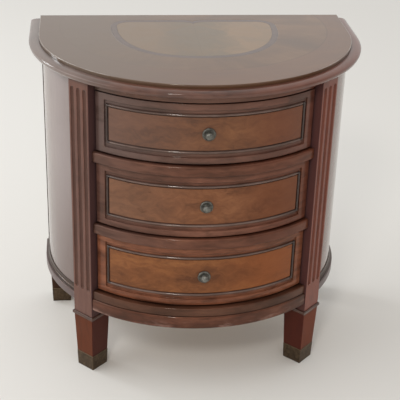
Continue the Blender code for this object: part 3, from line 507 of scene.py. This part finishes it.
def inlay_veneer(name):
    """The inlay: two mirrored leaves of pale figured veneer with soft bright lobes."""
    material, shader = new_material(name)
    dark, mid, light = INLAY_TINTS
    x, y, z = shader.place()
    beside = shader.math("ABSOLUTE", x)
    path = shader.joined(beside, y, z)
    warp = shader.noise(path, 12.0, 3.0, colour=True)
    bent = shader.plus(path, shader.scaled(warp, (0.07, 0.07, 0.0)))
    clouds = shader.noise(bent, 16.0, 4.0, 0.5, 0.7)
    curls = shader.noise(bent, 44.0, 5.0, 0.6, 1.0)
    lobes = shader.band(shader.total(beside, shader.times(clouds, 0.10)), 0.07, 0.15)
    figure = shader.total(shader.times(clouds, 0.50), shader.times(curls, 0.25))
    tone = shader.total(figure, shader.times(lobes, 0.30))
    tint = shader.ramp(tone, [(0.34, dark), (0.52, mid), (0.72, light)])
    tint = shader.toned(tint, INLAY_TONE, clouds)
    seam = shader.line(beside, 0.0, 0.0009)
    tint = shader.mix(shader.times(seam, 0.2), tint, shaded(dark, 0.5))
    normal = shader.bump(curls, 0.05, VENEER_BUMP)
    flow = shader.bump(shader.noise(path, 22.0, 2.0), 0.04, FLOW_BUMP)
    roughness = shader.total(shader.times(clouds, 0.20), 0.26)
    shader.finish(base_color=tint, roughness=roughness, normal=normal, coat_normal=flow, **CLEAR_GLOSS)
    return material


def bare_wood(name, grain, tints, plies=False):
    """Unfinished inner wood, with soft grain and, on plywood, a few long cathedral lines."""
    material, shader = new_material(name)
    path = shader.along(grain)
    warp = shader.noise(path, 5.0, 2.0, colour=True)
    stretch = (1.0, 7.0, 7.0) if plies else (1.0, 14.0, 14.0)
    bent = shader.plus(shader.scaled(path, stretch), shader.scaled(warp, (0.3, 0.4, 0.4)))
    streaks = shader.noise(bent, 6.0, 6.0, 0.6, 0.5)
    fibres = shader.noise(shader.scaled(path, (40.0, 900.0, 900.0)), 1.0, 3.0)
    tone = shader.total(shader.times(streaks, 0.8), shader.times(fibres, 0.2))
    tint = shader.ramp(tone, [(0.30, tints[0]), (0.50, tints[1]), (0.72, tints[2])])
    stains = shader.band(shader.noise(path, 8.0, 3.0), 0.55, 0.75, 0.0, 0.30)
    tint = shader.mix(stains, tint, tints[0])
    rounded = shader.edges(BARE_EDGE_RADIUS)[0]
    normal = shader.bump(tone, 0.25, GRAIN_BUMP, rounded)
    shader.finish(base_color=tint, roughness=0.62, normal=normal)
    return material


def bronze(name, tints, shine=0.38, rim=None, metal=0.85):
    """Dark old metal with a cloudy patina, rubbed bright on its edges, pale along any rim as rubbed metal
    and painted highlight, with painted shade in its corners.
    """
    material, shader = new_material(name)
    point = shader.along("across")
    dark, mid, light = tints
    patina = shader.noise(point, 140.0, 6.0, 0.65, 0.4)
    spots = shader.noise(point, 420.0, 3.0)
    tint = shader.ramp(patina, [(0.32, dark), (0.52, mid), (0.72, light)])
    rounded, edge = shader.edges(METAL_EDGE_RADIUS)
    bright = shader.times(edge, shader.band(spots, 0.35, 0.6, 0.35, 0.9))
    # Along the rim: pale as rubbed metal and as a painted highlight
    if rim:
        rim_rubbing_and_highlight = shader.band(shader.place()[2], rim - 0.0022, rim - 0.0008, 0.0, 0.55)
        bright = shader.math("MAXIMUM", bright, rim_rubbing_and_highlight)
    tint = shader.mix(bright, tint, shaded(light, 1.6))
    # Corners and grooves darkened: painted shade
    tint = shader.mix(shader.corner_shade(METAL_CORNER_REACH, 0.8), tint, shaded(dark, 0.4))
    roughness = shader.total(shader.times(spots, 0.24), shine - 0.12)
    normal = shader.bump(spots, 0.12, GRAIN_BUMP, rounded)
    shader.finish(base_color=tint, metallic=metal, roughness=roughness, normal=normal)
    return material


def dress(material, *names):
    """Puts a material on CAD nodes."""
    for name in names:
        for slot in nodes[name].material_slots:
            slot.link = "OBJECT"
            slot.material = material


def dress_case():
    """Materials of the top, the case and its feet."""
    sides, ends, levels = ("left", "right"), ("front", "rear"), ("top", "middle", "bottom")
    dress(top_veneer("top_veneer"), "top_board")
    dress(inlay_veneer("inlay_veneer"), "inlay_panel")
    dress(wood("inlay_banding", "across", BANDING, CLEAR_GLOSS, wear_and_highlight=0.0, glaze_and_shade=0.3), "inlay_band")
    moulding = wood("moulding_wood", "bow", GREY_BROWNS, CLEAR_GLOSS, regions=MOULDING_TONE_AND_REFLECTION, glaze_and_shade=0.4)
    dress(moulding, "top_moulding")
    frieze = wood("frieze_wood", "bow", GREY_BROWNS, HAZY_GLOSS, 0.23, MOULDING_TONE_AND_REFLECTION, smoke=0.35)
    dress(frieze, "frieze_rail")
    rails = wood("rail_wood", "bow", REDS, WARM_GLOSS, 0.31, FRONT_TONE_AND_REFLECTION, smoke=0.55)
    dress(rails, "rail_upper", "rail_lower")
    dress(wood("base_rail_wood", "bow", BROWNS, shift=0.53, smoke=0.4), "base_rail")
    base = wood("base_wood", "bow", BASE_REDS, shift=0.77, wear_and_highlight=0.9, scuffs=0.8, smoke=0.7)
    dress(base, "base_moulding_front")
    skirt = wood("skirt_wood", "bow", SKIRT_BROWNS, WARM_GLOSS, 0.77, SKIRT_REFLECTION_TONE, 0.4, 0.7)
    dress(skirt, *[f"base_moulding_{side}" for side in sides])
    veneer = wood("side_veneer", "up", SIDE_BROWNS_AND_REFLECTION, SIDE_GLOSS, regions=SIDE_TONE_AND_REFLECTION, wear_and_highlight=0.2)
    dress(veneer, *[f"side_panel_{side}" for side in sides])
    front = wood("post_wood", "up", POST_REDS, POST_GLOSS, 0.17, POST_TONE_AND_REFLECTION, wear_and_highlight=0.8, smoke=0.3)
    dress(front, *[f"front_post_{side}" for side in sides])
    rear = wood("rear_post_wood", "up", REAR_BROWNS, DULL_GLOSS, 0.39)
    dress(rear, *[f"rear_post_{side}" for side in sides])
    collar = wood("collar_wood", "across", BROWNS, CLEAR_GLOSS, wear_and_highlight=0.9)
    dress(collar, *[f"post_collar_{side}" for side in sides])
    ferrules = [f"ferrule_{end}_{side}" for end in ends for side in sides]
    dress(bronze("ferrule_bronze", DARK_BRONZE, 0.45, FERRULE_RIM), *ferrules)
    poplar = bare_wood("poplar", "across", POPLAR)
    sheet = bare_wood("plywood_sheet", "up", PLYWOOD, True)
    dress(sheet, "back_panel", "bottom_panel")
    dress(poplar, *[f"top_kicker_{side}" for side in sides])
    dress(poplar, *[f"runner_{level}_{side}" for level in levels for side in sides])
    return poplar, sheet


def dress_drawers(poplar, sheet):
    """Materials of the drawers: each front has its own tone, as the photograph shows, with painted
    reflection on the left and painted warm light from the floor on the bottom drawer.
    """
    pewter = bronze("knob_pewter", PEWTER, 0.42, metal=0.45)
    looks = {
        "top": (GREY_BROWNS, BURL, 0.11, TOP_FRAME_TONE_AND_REFLECTION, TOP_DRAWER_TONE_AND_REFLECTION, HAZY_GLOSS),
        "middle": (FRAME_REDS, MIDDLE_BURL, 0.47, FRONT_TONE_AND_REFLECTION, MIDDLE_DRAWER_TONE_AND_REFLECTION, WARM_GLOSS),
        "bottom": (ORANGE_REDS, WARM_BURL, 0.83, (), WARM_TONE, WARM_GLOSS),
    }
    for level, (frame_tints, panel_tints, shift, frame_tone, regions, gloss) in looks.items():
        drawer = f"drawer_{level}_"
        front = wood(drawer + "frame_wood", "bow", frame_tints, gloss, shift, frame_tone, 0.35, smoke=0.55)
        dress(front, drawer + "front")
        bead = wood(drawer + "bead_wood", "bow", BEAD_BROWNS_AND_HIGHLIGHT, CLEAR_GLOSS, shift, BEAD_SHADE_TONE, 0.25, 0.9)
        dress(bead, drawer + "bead")
        dress(burl(drawer + "veneer", panel_tints, shift, regions, gloss), drawer + "panel")
        dress(poplar, *[drawer + piece for piece in ("side_left", "side_right", "back")])
        dress(sheet, drawer + "bottom")
        dress(pewter, drawer + "knob", drawer + "backplate")


def build_camera():
    """The photograph's camera."""
    cos_pitch, sin_pitch = math.cos(CAMERA_PITCH), math.sin(CAMERA_PITCH)
    forward = Vector((math.sin(CAMERA_YAW) * cos_pitch, math.cos(CAMERA_YAW) * cos_pitch, -sin_pitch))
    level = Vector((math.cos(CAMERA_YAW), -math.sin(CAMERA_YAW), 0))
    upright = level.cross(forward)
    cos_roll, sin_roll = math.cos(CAMERA_ROLL), math.sin(CAMERA_ROLL)
    right = level * cos_roll + upright * sin_roll
    up = upright * cos_roll - level * sin_roll
    turn = Matrix((right, up, -forward)).transposed()
    data = bpy.data.cameras.new("camera")
    data.sensor_width = CAMERA_SENSOR
    data.lens = CAMERA_LENS
    camera = bpy.data.objects.new("camera", data)
    bpy.context.scene.collection.objects.link(camera)
    camera.matrix_world = Matrix.Translation(CAMERA_PLACE) @ turn.to_4x4()
    bpy.context.scene.camera = camera
    bpy.context.scene.view_settings.view_transform = "Standard"


def add_lamp(name, place, size, power, colour):
    """A rectangular area lamp aimed at the middle of the nightstand."""
    data = bpy.data.lights.new(name, "AREA")
    data.shape = "RECTANGLE"
    data.size, data.size_y = size
    data.energy = power
    data.color = colour
    lamp = bpy.data.objects.new(name, data)
    lamp.location = place
    lamp.rotation_euler = (Vector(LAMP_AIM) - Vector(place)).to_track_quat("-Z", "Y").to_euler()
    bpy.context.scene.collection.objects.link(lamp)


def build_floor():
    """A plain pale floor."""
    mesh = bpy.data.meshes.new("floor")
    corners = [(x * FLOOR_HALF, y * FLOOR_HALF, 0) for x, y in ((-1, -1), (1, -1), (1, 1), (-1, 1))]
    mesh.from_pydata(corners, [], [(0, 1, 2, 3)])
    floor = bpy.data.objects.new("floor", mesh)
    bpy.context.scene.collection.objects.link(floor)
    material, shader = new_material("pale_floor")
    shader.finish(base_color=FLOOR_COLOUR, roughness=0.7, specular_ior_level=0.15)
    mesh.materials.append(material)


def build_room():
    """Soft room light: pale behind, overhead and to the left, dimmer in front."""
    world = bpy.data.worlds.new("room")
    bpy.context.scene.world = world
    world.use_nodes = True
    shader = Shader(world.node_tree)
    x, y, z = shader.split(shader.add("TexCoord").outputs["Generated"])
    overhead = shader.band(z, 0.05, 0.75)
    behind = shader.band(y, -0.25, 0.35)
    left = shader.band(shader.math("MULTIPLY", x, -1.0), 0.40, 0.95)
    bright = shader.math("MAXIMUM", shader.math("MAXIMUM", overhead, behind), left)
    strength = shader.band(bright, 0.0, 1.0, FRONT_LEVEL, ROOM_LEVEL)
    background = shader.add("Background", {"Color": ROOM_COLOUR, "Strength": strength})
    shader.add("OutputWorld", {"Surface": background.outputs[0]})
    add_lamp("window", (-4.5, -0.3, 3.2), (4.2, 3.6), 84, DAYLIGHT)
    add_lamp("far_window", (-2.6, 1.6, 1.9), (0.5, 0.9), 18, DAYLIGHT)
    add_lamp("ceiling", (-0.85, -2.7, 2.8), (0.5, 0.5), 28, WARM_LIGHT)


for node in nodes.values():
    smooth_normals(node.data)
dress_drawers(*dress_case())
build_camera()
build_floor()
build_room()
